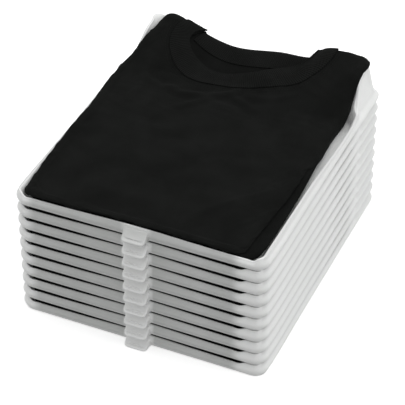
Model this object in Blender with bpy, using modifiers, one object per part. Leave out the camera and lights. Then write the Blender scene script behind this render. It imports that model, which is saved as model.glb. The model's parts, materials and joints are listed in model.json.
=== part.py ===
"""Stack of ten shirt folding boards, each holding one folded T-shirt.

Every board is a one-piece moulded tray of translucent white polypropylene: a
flat floor inside a raised hollow rim, a lower front wall with a pull tab at its
foot, and two hollow ears at the rear corners. The ears of one board reach up
inside the ears of the board above it, which keeps the stack in line and is
what the upper boards tip back on when the front of the stack is lifted.

Metres, +Z up. X is across the boards, the pull tabs face -Y, and the origin is
on the surface that the stack stands on, under the middle of the whole stack.
"""

import math

import bmesh
import bpy
from mathutils import Vector
from mathutils.bvhtree import BVHTree

MM = 0.001
COUNT = 10                 # boards in the stack, and folded shirts
WIDTH = 250 * MM           # of a board over its bulged side walls
DEPTH = 298 * MM           # of a board, without its tab
PITCH = 13.9 * MM          # height that each board adds to the stack
CORNER = 13 * MM           # outer corner radius in plan
WALL = 1.8 * MM            # moulded wall thickness
CLEAR = 0.3 * MM           # between pieces that touch

RIM_TOP = PITCH - CLEAR    # top of the side rims, which the next board rests on
BULGE = 2.2 * MM           # how far a wall bows out between its top and its foot
BULGE_Z = 6.0 * MM
SHOULDER_Z = 11.5 * MM     # where the outer wall turns in to the rim
SLIT_NARROW = 2.3 * MM     # gap over the front wall beside the tab
SLIT_WIDE = 3.7 * MM       # the same gap near the corners

EAR_RISE = 27 * MM         # ears above the side rims
EAR_SIDE = 62 * MM         # length of an ear along the side
EAR_REAR = 62 * MM         # length of an ear along the rear
EAR_FULL = 20 * MM         # an ear keeps its full height this near the corner
RIDGE_RISE = 2.5 * MM      # rear edge between the ears, above the side rims
EAR_DRAFT = math.radians(14)    # outer wall of an ear, from the vertical
EAR_RAMP = math.radians(61)     # inner wall of an ear, from the floor
ARC_STEPS = 4              # segments in each corner

TAB_WIDTH = 23 * MM
TAB_REACH = 9.5 * MM       # forward of the front wall
TAB_THICK = 2.2 * MM
TAB_CORNER = 4.5 * MM
MIDDLE = (DEPTH - TAB_REACH) / 2    # from the boards' front edge back to the origin

SHIRT_THICK = 11.2 * MM    # folded shirt between two boards
SHIRT_HALF = 111 * MM    # half its folded width
SHIRT_FRONT = 6.6 * MM     # its front fold, behind the front of the board
SHIRT_REAR = DEPTH - 50 * MM
SHIRT_CORNER_REAR = 42 * MM
SHIRT_CORNER_FRONT = 14 * MM
TOP_SHIRT_REAR = DEPTH - 13 * MM
TOP_SHIRT_THICK = 12.5 * MM
TOP_SHIRT_THIN = 7.5 * MM  # where it lies over the ears

HALF = WIDTH / 2


def smooth(value):
    value = min(max(value, 0.0), 1.0)
    return value * value * (3 - 2 * value)


def mix(a, b, share):
    return a + (b - a) * share


def stations():
    """Points round the outer line of a board, anticlockwise from the tab: (point, outward normal, inward direction)."""
    line = []
    arc = [math.radians(90 * i / ARC_STEPS) for i in range(ARC_STEPS + 1)]
    for x in (0.0, 16 * MM, 50 * MM, 90 * MM):
        line.append((Vector((x, 0)), Vector((0, -1))))
    for a in arc:
        n = Vector((math.sin(a), -math.cos(a)))
        line.append((Vector((HALF - CORNER, CORNER)) + CORNER * n, n))
    for y in (110 * MM, DEPTH - EAR_SIDE, DEPTH - EAR_SIDE + 9 * MM, DEPTH - EAR_SIDE + 20 * MM, DEPTH - EAR_SIDE + 32 * MM):
        line.append((Vector((HALF, y)), Vector((1, 0))))
    for a in arc:
        n = Vector((math.cos(a), math.sin(a)))
        line.append((Vector((HALF - CORNER, DEPTH - CORNER)) + CORNER * n, n))
    for x in (HALF - 28 * MM, HALF - 40 * MM, HALF - EAR_REAR + 8 * MM, HALF - EAR_REAR - 4 * MM, 0.0):
        line.append((Vector((x, DEPTH)), Vector((0, 1))))
    right = list(line)
    for p, n in reversed(right[1:-1]):
        line.append((Vector((-p.x, p.y)), Vector((-n.x, n.y))))
    found = []
    for p, n in line:
        side = 1 if p.x > 0 else -1
        middle = Vector((side * (HALF - EAR_REAR), DEPTH - EAR_SIDE))
        if abs(p.x) > HALF - EAR_REAR and p.y > DEPTH - EAR_SIDE:
            inward = (middle - p).normalized()
        else:
            inward = -n
        found.append((p, n, inward))
    return found


def ear_share(p):
    """0 away from the ears, 1 round the rear corners."""
    along_side = (p.y - (DEPTH - EAR_SIDE)) / (EAR_SIDE - EAR_FULL)
    along_rear = (abs(p.x) - (HALF - EAR_REAR)) / (EAR_REAR - EAR_FULL)
    if p.y < DEPTH - EAR_SIDE:
        return 0.0
    return smooth(along_side) * smooth(along_rear)


def rim_height(p):
    """Height of the rim's crest at an outer point."""
    rear = p.y > DEPTH - CORNER * 0.5 and abs(p.x) < HALF - CORNER * 0.3
    top = RIM_TOP + EAR_RISE * ear_share(p)
    if rear:
        top = max(top, RIM_TOP + RIDGE_RISE)
    if p.y < 1.5 * MM:
        part = (abs(p.x) - 0.5 * TAB_WIDTH) / (HALF - CORNER - 0.5 * TAB_WIDTH)
        slit = mix(SLIT_NARROW, SLIT_WIDE, smooth(part * 1.4))
        top = PITCH - slit if abs(p.x) < HALF - CORNER * 0.9 else RIM_TOP - 0.9 * MM
    return top


def section(p):
    """(inset from the outer line, height) of a board's upper surface at an outer point, from the floor to the foot of the outer wall."""
    top = rim_height(p)
    raised = max(top - RIM_TOP, 0.0)
    nested = 0.0 if p.y < DEPTH - EAR_SIDE else smooth((p.y - (DEPTH - EAR_SIDE)) / (8 * MM))
    front = smooth(1 - p.y / CORNER)
    shoulder = mix(mix(2.2, 1.6, front), 4.8, nested) * MM
    crest = mix(mix(3.4, 2.3, front), 5.9, nested) * MM + raised * math.tan(EAR_DRAFT)
    width = mix(mix(1.8, 1.0, front), 2.4, nested) * MM
    steep = mix(4.6, 2.6, front) * MM
    run = steep + raised / math.tan(EAR_RAMP) + (RIM_TOP / math.tan(EAR_RAMP) - steep) * smooth(raised / (6 * MM))
    foot = crest + width + 0.9 * MM + run
    low = WALL
    inner = top - 1.1 * MM
    lip = crest + width + 0.9 * MM
    return [
        (foot + 1.2 * MM, low),
        (foot - 0.10 * run, mix(low, inner, 0.13)),
        (lip, inner),
        (crest + width, top),
        (crest, top),
        (shoulder, SHOULDER_Z if top > SHOULDER_Z + 1.2 * MM else top - 1.2 * MM),
        (0.0, BULGE_Z),
        (BULGE, 0.0),
    ]


def place(station, inset, height):
    p, n, inward = station
    at = p + inward * (inset / max(-inward.dot(n), 0.5))
    return Vector((at.x, at.y, height))


def solidified(mesh, thickness, name):
    """The mesh with its wall thickness below it, as a new mesh."""
    holder = bpy.data.objects.new(name, mesh)
    bpy.context.scene.collection.objects.link(holder)
    shell = holder.modifiers.new("wall", "SOLIDIFY")
    shell.thickness = thickness
    shell.offset = -1
    shell.use_even_offset = True
    shell.thickness_clamp = 0
    result = bpy.data.meshes.new_from_object(holder.evaluated_get(bpy.context.evaluated_depsgraph_get()))
    bpy.data.objects.remove(holder)
    return result


def board_skin():
    """Upper surface of a board, open at the foot of its outer walls."""
    skin = bmesh.new()
    line = stations()
    count = len(line)
    places = [[place(station, inset, height) for inset, height in section(station[0])] for station in line]
    eared = [i for i in range(count) if ear_share(line[i][0]) > 0.02]
    for level, times in ((0, 5), (1, 4), (2, 1)):
        for _ in range(times):
            old = [row[level].copy() for row in places]
            for i in eared:
                places[i][level] = 0.5 * old[i] + 0.25 * (old[i - 1] + old[(i + 1) % count])
    ring_of = [[skin.verts.new(at) for at in row] for row in places]
    for i in range(count):
        a, b = ring_of[i], ring_of[(i + 1) % count]
        for j in range(len(a) - 1):
            skin.faces.new((a[j], a[j + 1], b[j + 1], b[j]))
    skin.faces.new([ring[0] for ring in ring_of])
    bmesh.ops.recalc_face_normals(skin, faces=skin.faces)
    floor = max(skin.faces, key=lambda f: f.calc_area())
    if floor.normal.z < 0:
        bmesh.ops.reverse_faces(skin, faces=skin.faces)
    mesh = bpy.data.meshes.new("board_skin")
    skin.to_mesh(mesh)
    skin.free()
    return mesh


def tab_mesh():
    """The pull tab: a tongue with rounded front corners that rises to the top of the front wall at its root."""
    tongue = bmesh.new()
    half = TAB_WIDTH / 2
    outline = [(half, 1.9 * MM), (half, -TAB_REACH + TAB_CORNER)]
    for i in range(1, 4):
        a = math.radians(90 * i / 3)
        outline.append((half - TAB_CORNER + TAB_CORNER * math.cos(a), -TAB_REACH + TAB_CORNER - TAB_CORNER * math.sin(a)))
    outline += [(-x, y) for x, y in reversed(outline)]

    def top(y):
        back = min(max((y + TAB_REACH) / TAB_REACH, 0.0), 1.0)
        return TAB_THICK + 7.6 * MM * back ** 2.2

    lower = [tongue.verts.new((x, y, 0.02 * MM)) for x, y in outline]
    upper = [tongue.verts.new((x, y, top(y))) for x, y in outline]
    middle = [tongue.verts.new((side * half, -0.35 * TAB_REACH, top(-0.35 * TAB_REACH))) for side in (1, -1)]
    count = len(outline)
    tongue.faces.new(list(reversed(lower)))
    for i in range(count):
        j = (i + 1) % count
        tongue.faces.new((lower[i], lower[j], upper[j], upper[i]))
    tongue.faces.ensure_lookup_table()
    bmesh.ops.delete(tongue, geom=middle, context="VERTS")
    tongue.faces.new(upper)
    bmesh.ops.triangulate(tongue, faces=tongue.faces)
    bmesh.ops.recalc_face_normals(tongue, faces=tongue.faces)
    mesh = bpy.data.meshes.new("tab")
    tongue.to_mesh(mesh)
    tongue.free()
    return mesh


def board_mesh(cutters):
    """One whole board: the solidified skin with its tab joined on."""
    skin = board_skin()
    shell = solidified(skin, WALL, "board_shell")
    tab = bpy.data.objects.new("tab_form", tab_mesh())
    cutters.objects.link(tab)
    tab.hide_render = True
    tab.display_type = "WIRE"
    holder = bpy.data.objects.new("board_holder", shell)
    bpy.context.scene.collection.objects.link(holder)
    join = holder.modifiers.new("tab", "BOOLEAN")
    join.operation = "UNION"
    join.solver = "EXACT"
    join.object = tab
    bpy.context.view_layer.update()
    mesh = bpy.data.meshes.new_from_object(holder.evaluated_get(bpy.context.evaluated_depsgraph_get()))
    bpy.data.objects.remove(holder)
    mesh.name = "folding_board"
    return mesh, skin


def rounded_outline(half, front, rear, front_corner, rear_corner, steps):
    points = []
    for centre, radius, start in (
        ((half - front_corner, front + front_corner), front_corner, -90),
        ((half - rear_corner, rear - rear_corner), rear_corner, 0),
        ((-half + rear_corner, rear - rear_corner), rear_corner, 90),
        ((-half + front_corner, front + front_corner), front_corner, 180),
    ):
        for i in range(steps + 1):
            a = math.radians(start + 90 * i / steps)
            points.append((centre[0] + radius * math.cos(a), centre[1] + radius * math.sin(a)))
    return points


def shirt_mesh():
    """A folded shirt lying flat between two boards: a slab with soft edges."""
    slab = bmesh.new()
    points = rounded_outline(SHIRT_HALF, SHIRT_FRONT, SHIRT_REAR, SHIRT_CORNER_FRONT, SHIRT_CORNER_REAR, 4)
    base = WALL + CLEAR
    face = slab.faces.new([slab.verts.new((x, y, base)) for x, y in points])
    if face.normal.z > 0:
        face.normal_flip()
    face.normal_update()
    made = bmesh.ops.extrude_face_region(slab, geom=[face])
    risen = [g for g in made["geom"] if isinstance(g, bmesh.types.BMVert)]
    bmesh.ops.translate(slab, verts=risen, vec=(0, 0, SHIRT_THICK))
    bmesh.ops.recalc_face_normals(slab, faces=slab.faces)
    rims = [e for e in slab.edges if abs(e.verts[0].co.z - e.verts[1].co.z) < 1e-6]
    bmesh.ops.bevel(slab, geom=rims, offset=2.5 * MM, segments=1, affect="EDGES")
    mesh = bpy.data.meshes.new("folded_shirt")
    slab.to_mesh(mesh)
    slab.free()
    return mesh


def top_shirt_mesh(skin):
    """The uppermost shirt: it lies in its tray and rides up over the ears and the rear edge."""
    tree = BVHTree.FromPolygons([v.co for v in skin.vertices], [tuple(p.vertices) for p in skin.polygons])
    across, along = 12, 14
    sheet = bmesh.new()
    half = 114 * MM
    rows = []
    for j in range(along + 1):
        y = mix(SHIRT_FRONT, TOP_SHIRT_REAR, 1 - (1 - j / along) ** 1.35)
        inset = 0.0
        if y < SHIRT_CORNER_FRONT + SHIRT_FRONT:
            d = (SHIRT_CORNER_FRONT + SHIRT_FRONT - y) / SHIRT_CORNER_FRONT
            inset = SHIRT_CORNER_FRONT * (1 - math.sqrt(max(1 - d * d, 0.0)))
        if y > DEPTH - 70 * MM:
            inset += 6.0 * MM * smooth((y - DEPTH + 70 * MM) / (45 * MM))
        if y > TOP_SHIRT_REAR - 16 * MM:
            d = (y - TOP_SHIRT_REAR + 16 * MM) / (16 * MM)
            inset += 14 * MM * (1 - math.sqrt(max(1 - d * d, 0.0)))
        row = []
        for i in range(across + 1):
            t = 2 * i / across - 1
            t = math.copysign(1 - (1 - abs(t)) ** 1.25, t)
            row.append(Vector(((half - inset) * t, y, 0)))
        rows.append(row)
    lower, upper = [], []
    for j, row in enumerate(rows):
        low_row, up_row = [], []
        for i, at in enumerate(row):
            lift = 0.0
            for dx in (-8 * MM, -4 * MM, 0, 4 * MM, 8 * MM):
                for dy in (-8 * MM, -4 * MM, 0, 4 * MM, 8 * MM):
                    hit = tree.ray_cast(Vector((at.x + dx, at.y + dy, 1.0)), Vector((0, 0, -1)))[0]
                    if hit is not None:
                        lift = max(lift, hit.z)
            base = lift + 1.3 * MM if lift > WALL + 0.2 * MM else WALL + CLEAR
            edge = min(i, across - i, j, along - j)
            thick = mix(TOP_SHIRT_THICK, TOP_SHIRT_THIN, smooth((base - WALL) / (16 * MM)))
            thick = thick if edge else min(thick, 9.0 * MM) * 0.72
            low_row.append(sheet.verts.new((at.x, at.y, base + (0.0 if edge else 0.14 * thick))))
            up_row.append(sheet.verts.new((at.x, at.y, base + thick)))
        lower.append(low_row)
        upper.append(up_row)
    for j in range(along):
        for i in range(across):
            sheet.faces.new((upper[j][i], upper[j][i + 1], upper[j + 1][i + 1], upper[j + 1][i]))
            sheet.faces.new((lower[j][i], lower[j + 1][i], lower[j + 1][i + 1], lower[j][i + 1]))
    ring = [(0, i) for i in range(across)] + [(j, across) for j in range(along)]
    ring += [(along, across - i) for i in range(across)] + [(along - j, 0) for j in range(along)]
    for k in range(len(ring)):
        a, b = ring[k], ring[(k + 1) % len(ring)]
        sheet.faces.new((lower[a[0]][a[1]], lower[b[0]][b[1]], upper[b[0]][b[1]], upper[a[0]][a[1]]))
    bmesh.ops.recalc_face_normals(sheet, faces=sheet.faces)
    mesh = bpy.data.meshes.new("top_folded_shirt")
    sheet.to_mesh(mesh)
    sheet.free()
    return mesh


def material(name, colour, roughness, metallic=0.0, transmission=0.0):
    made = bpy.data.materials.new(name)
    made.use_nodes = True
    shader = made.node_tree.nodes["Principled BSDF"]
    shader.inputs["Base Color"].default_value = (*colour, 1)
    shader.inputs["Roughness"].default_value = roughness
    shader.inputs["Metallic"].default_value = metallic
    shader.inputs["Transmission Weight"].default_value = transmission
    return made


def main():
    for obj in list(bpy.data.objects):
        bpy.data.objects.remove(obj)
    parts = bpy.data.collections.new("shirt_folding_boards")
    cutters = bpy.data.collections.new("cutters")
    bpy.context.scene.collection.children.link(parts)
    bpy.context.scene.collection.children.link(cutters)
    cutters.hide_render = True

    board, skin = board_mesh(cutters)
    shirt = shirt_mesh()
    top_shirt = top_shirt_mesh(skin)
    lift = None
    pivot_y = DEPTH - BULGE
    for k in range(COUNT):
        # Each board tips on its rear bottom edge, and carries the boards above it.
        pivot = bpy.data.objects.new(f"pivot_{k + 1:02d}", None)
        parts.objects.link(pivot)
        if lift is None:
            pivot.location = (0, pivot_y - MIDDLE, 0)
        else:
            pivot.parent = lift
            pivot.location = (0, 0, PITCH)
        lift = pivot
        tray = bpy.data.objects.new(f"folding_board_{k + 1:02d}", board.copy())
        parts.objects.link(tray)
        tray.parent = pivot
        tray.location = (0, -pivot_y, 0)
        tray.data.materials.clear()
        tray.data.materials.append(material(f"white_polypropylene_{k + 1:02d}", (0.86, 0.87, 0.86), 0.38, transmission=0.15))
        tray.data.shade_smooth()
        tray.data.set_sharp_from_angle(angle=math.radians(40))
        form = (top_shirt if k == COUNT - 1 else shirt).copy()
        cloth = bpy.data.objects.new(f"folded_shirt_{k + 1:02d}", form)
        parts.objects.link(cloth)
        cloth.parent = pivot
        cloth.location = (0, -pivot_y, 0)
        cloth.data.materials.append(material(f"black_cotton_jersey_{k + 1:02d}", (0.012, 0.012, 0.012), 0.92))
        cloth.data.shade_smooth()
        cloth.data.set_sharp_from_angle(angle=math.radians(50))
    for spare in (board, shirt, top_shirt, skin):
        bpy.data.meshes.remove(spare)
    bpy.context.view_layer.update()


main()
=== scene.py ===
"""Looks of the stack of shirt folding boards: moulded translucent boards, each with its folded black T-shirt."""

import json
import math

import bmesh
import bpy
import numpy as np
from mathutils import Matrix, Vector
from mathutils.bvhtree import BVHTree

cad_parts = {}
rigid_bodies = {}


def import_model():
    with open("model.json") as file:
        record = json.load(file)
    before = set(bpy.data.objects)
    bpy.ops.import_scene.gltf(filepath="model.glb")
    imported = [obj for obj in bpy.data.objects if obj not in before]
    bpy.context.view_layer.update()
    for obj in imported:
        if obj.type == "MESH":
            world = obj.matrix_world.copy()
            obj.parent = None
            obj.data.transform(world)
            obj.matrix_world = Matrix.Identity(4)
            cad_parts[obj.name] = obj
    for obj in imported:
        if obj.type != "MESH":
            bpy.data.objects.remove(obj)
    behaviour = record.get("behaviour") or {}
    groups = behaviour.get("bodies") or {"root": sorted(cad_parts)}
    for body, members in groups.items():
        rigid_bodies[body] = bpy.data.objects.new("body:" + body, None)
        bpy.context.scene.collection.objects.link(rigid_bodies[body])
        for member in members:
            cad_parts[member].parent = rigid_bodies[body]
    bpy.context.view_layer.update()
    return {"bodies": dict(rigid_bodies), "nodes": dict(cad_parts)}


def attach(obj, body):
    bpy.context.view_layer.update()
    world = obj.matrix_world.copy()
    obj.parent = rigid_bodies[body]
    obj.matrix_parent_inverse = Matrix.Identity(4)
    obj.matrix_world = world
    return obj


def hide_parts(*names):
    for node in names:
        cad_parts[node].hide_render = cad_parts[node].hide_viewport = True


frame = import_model()

MM = 0.001
COUNT = 10
WIDTH = 250 * MM
DEPTH = 298 * MM
PITCH = 13.9 * MM
CORNER = 13 * MM
WALL = 1.8 * MM
CLEAR = 0.3 * MM
RIM_TOP = PITCH - CLEAR
BULGE = 2.2 * MM
BULGE_Z = 6.0 * MM
SHOULDER_Z = 11.5 * MM
SLIT_NARROW = 2.3 * MM
SLIT_WIDE = 4.1 * MM
EAR_RISE = 27 * MM
EAR_SIDE = 62 * MM
EAR_REAR = 62 * MM
EAR_FULL = 20 * MM
RIDGE_RISE = 2.5 * MM
EAR_DRAFT = math.radians(14)
EAR_RAMP = math.radians(61)
ARC_STEPS = 4
TAB_WIDTH = 23 * MM
TAB_REACH = 9.5 * MM
TAB_THICK = 2.2 * MM
TAB_CORNER = 4.5 * MM
EASE = 0.5 * MM
EASE_TOP = 1.2 * MM
HALF = WIDTH / 2
TOP_Z = (COUNT - 1) * PITCH

scene = bpy.context.scene


# ---------------------------------------------------------------- helpers


def smooth(value):
    value = min(max(value, 0.0), 1.0)
    return value * value * (3 - 2 * value)


def smooth_array(value):
    value = np.clip(value, 0.0, 1.0)
    return value * value * (3 - 2 * value)


def mix(a, b, share):
    return a + (b - a) * share


def spline(points, per, closed=False):
    """Centripetal Catmull-Rom through points (n, 3), with per pieces to a span."""
    points = np.asarray(points, float)
    n = len(points)
    if closed:
        padded = np.concatenate([points[-1:], points, points[:2]])
        spans = n
    else:
        padded = np.concatenate([2 * points[:1] - points[1:2], points, 2 * points[-1:] - points[-2:-1]])
        spans = n - 1
    found = []
    for i in range(spans):
        p0, p1, p2, p3 = padded[i : i + 4]
        t0 = 0.0
        t1 = t0 + max(np.linalg.norm(p1 - p0), 1e-9) ** 0.5
        t2 = t1 + max(np.linalg.norm(p2 - p1), 1e-9) ** 0.5
        t3 = t2 + max(np.linalg.norm(p3 - p2), 1e-9) ** 0.5
        for t in np.linspace(t1, t2, per + 1)[:-1]:
            a1 = (t1 - t) / (t1 - t0) * p0 + (t - t0) / (t1 - t0) * p1
            a2 = (t2 - t) / (t2 - t1) * p1 + (t - t1) / (t2 - t1) * p2
            a3 = (t3 - t) / (t3 - t2) * p2 + (t - t2) / (t3 - t2) * p3
            b1 = (t2 - t) / (t2 - t0) * a1 + (t - t0) / (t2 - t0) * a2
            b2 = (t3 - t) / (t3 - t1) * a2 + (t - t1) / (t3 - t1) * a3
            found.append((t2 - t) / (t2 - t1) * b1 + (t - t1) / (t2 - t1) * b2)
    if not closed:
        found.append(points[-1])
    return np.array(found)


def resampled(points, count):
    """count points evenly along a polyline."""
    points = np.asarray(points, float)
    run = np.concatenate([[0], np.cumsum(np.linalg.norm(np.diff(points, axis=0), axis=1))])
    at = np.linspace(0, run[-1], count)
    return np.stack([np.interp(at, run, points[:, k]) for k in range(points.shape[1])], axis=1)


def new_object(name, mesh):
    made = bpy.data.objects.new(name, mesh)
    scene.collection.objects.link(made)
    return made


def baked(obj, name):
    """The object's mesh with its modifiers applied; the object is removed."""
    bpy.context.view_layer.update()
    mesh = bpy.data.meshes.new_from_object(obj.evaluated_get(bpy.context.evaluated_depsgraph_get()))
    mesh.name = name
    bpy.data.objects.remove(obj)
    return mesh


def wave(x, y, seed, scale):
    """Smooth repeatable unevenness, about -1 to 1."""
    rng = np.random.default_rng(seed)
    total = np.zeros_like(x)
    for _ in range(9):
        a = rng.uniform(0, 2 * math.pi)
        k = rng.uniform(0.5, 1.6) * 2 * math.pi / scale
        total += np.sin(k * (x * math.cos(a) + y * math.sin(a)) + rng.uniform(0, 6.28))
    return total / 4.5


# ---------------------------------------------------------------- materials


def node(tree, kind, **values):
    made = tree.nodes.new(kind)
    for key, value in values.items():
        setattr(made, key, value)
    return made


def board_material():
    """Translucent white polypropylene: satin, finely textured, with painted shade making it greyer where the black
    shirt lies right behind the wall and in the joints between boards, and painted light keeping the tabs whiter.
    """
    made = bpy.data.materials.new("white_polypropylene")
    made.use_nodes = True
    tree = made.node_tree
    link = tree.links.new
    shader = tree.nodes["Principled BSDF"]
    shader.inputs["IOR"].default_value = 1.49
    shader.inputs["Subsurface Weight"].default_value = 0.12
    shader.inputs["Subsurface Radius"].default_value = (1.0, 1.0, 0.9)
    shader.inputs["Subsurface Scale"].default_value = 0.003
    place = node(tree, "ShaderNodeTexCoord")
    # painted shade: greyer where the black shirt lies right behind the translucent wall, and on the top board's tab
    painted_shade = node(tree, "ShaderNodeAttribute", attribute_name="painted_shade")
    cloudy = node(tree, "ShaderNodeTexNoise")
    cloudy.inputs["Scale"].default_value = 26.0
    cloudy.inputs["Detail"].default_value = 4.0
    link(place.outputs["Object"], cloudy.inputs["Vector"])
    tint = node(tree, "ShaderNodeValToRGB")
    tint.color_ramp.elements[0].position = 0.3
    tint.color_ramp.elements[0].color = (0.815, 0.827, 0.813, 1)
    tint.color_ramp.elements[1].position = 0.72
    tint.color_ramp.elements[1].color = (0.875, 0.881, 0.875, 1)
    link(cloudy.outputs["Fac"], tint.inputs["Fac"])
    dark = node(tree, "ShaderNodeValToRGB")
    dark.color_ramp.elements[0].position = 0.3
    dark.color_ramp.elements[0].color = (0.470, 0.480, 0.468, 1)
    dark.color_ramp.elements[1].position = 0.72
    dark.color_ramp.elements[1].color = (0.540, 0.546, 0.540, 1)
    link(cloudy.outputs["Fac"], dark.inputs["Fac"])
    seen = node(tree, "ShaderNodeMix", data_type="RGBA")
    link(painted_shade.outputs["Fac"], seen.inputs["Factor"])
    link(tint.outputs["Color"], seen.inputs["A"])
    link(dark.outputs["Color"], seen.inputs["B"])
    # painted shade in the joints between stacked boards
    joint_painted_shade = node(tree, "ShaderNodeAttribute", attribute_name="joint_painted_shade")
    shade = node(tree, "ShaderNodeMapRange")
    shade.inputs["To Max"].default_value = 0.60
    link(joint_painted_shade.outputs["Fac"], shade.inputs["Value"])
    shaded = node(tree, "ShaderNodeMix", data_type="RGBA")
    shaded.inputs["B"].default_value = (0.50, 0.505, 0.50, 1)
    link(shade.outputs["Result"], shaded.inputs["Factor"])
    link(seen.outputs["Result"], shaded.inputs["A"])
    # painted light: the tabs kept whiter, to lift the shade the tabs above cast on them
    solid = node(tree, "ShaderNodeAttribute", attribute_name="solid")
    tab_painted_light = node(tree, "ShaderNodeMix", data_type="RGBA")
    tab_painted_light.inputs["B"].default_value = (0.80, 0.806, 0.80, 1)
    link(solid.outputs["Fac"], tab_painted_light.inputs["Factor"])
    link(shaded.outputs["Result"], tab_painted_light.inputs["A"])
    # faint scuffs from sliding in and out of the stack
    stretch = node(tree, "ShaderNodeMapping")
    stretch.inputs["Scale"].default_value = (90, 1400, 900)
    link(place.outputs["Object"], stretch.inputs["Vector"])
    scuff = node(tree, "ShaderNodeTexNoise")
    scuff.inputs["Scale"].default_value = 1.0
    scuff.inputs["Detail"].default_value = 3.0
    link(stretch.outputs["Vector"], scuff.inputs["Vector"])
    scuffed = node(tree, "ShaderNodeMapRange")
    scuffed.inputs["From Min"].default_value = 0.56
    scuffed.inputs["From Max"].default_value = 0.8
    scuffed.inputs["To Max"].default_value = 0.26
    link(scuff.outputs["Fac"], scuffed.inputs["Value"])
    worn = node(tree, "ShaderNodeMix", data_type="RGBA")
    worn.inputs["B"].default_value = (0.66, 0.665, 0.66, 1)
    link(scuffed.outputs["Result"], worn.inputs["Factor"])
    link(tab_painted_light.outputs["Result"], worn.inputs["A"])
    link(worn.outputs["Result"], shader.inputs["Base Color"])
    rough = node(tree, "ShaderNodeMapRange")
    rough.inputs["To Min"].default_value = 0.30
    rough.inputs["To Max"].default_value = 0.50
    link(scuff.outputs["Fac"], rough.inputs["Value"])
    link(rough.outputs["Result"], shader.inputs["Roughness"])
    grain = node(tree, "ShaderNodeTexNoise")
    grain.inputs["Scale"].default_value = 1500.0
    grain.inputs["Detail"].default_value = 2.0
    link(place.outputs["Object"], grain.inputs["Vector"])
    flow = node(tree, "ShaderNodeTexNoise")
    flow.inputs["Scale"].default_value = 70.0
    flow.inputs["Detail"].default_value = 1.0
    link(place.outputs["Object"], flow.inputs["Vector"])
    fine = node(tree, "ShaderNodeBump")
    fine.inputs["Strength"].default_value = 0.10
    fine.inputs["Distance"].default_value = 0.0002
    link(grain.outputs["Fac"], fine.inputs["Height"])
    broad = node(tree, "ShaderNodeBump")
    broad.inputs["Strength"].default_value = 0.22
    broad.inputs["Distance"].default_value = 0.0012
    link(flow.outputs["Fac"], broad.inputs["Height"])
    link(fine.outputs["Normal"], broad.inputs["Normal"])
    link(broad.outputs["Normal"], shader.inputs["Normal"])
    return made


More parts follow.
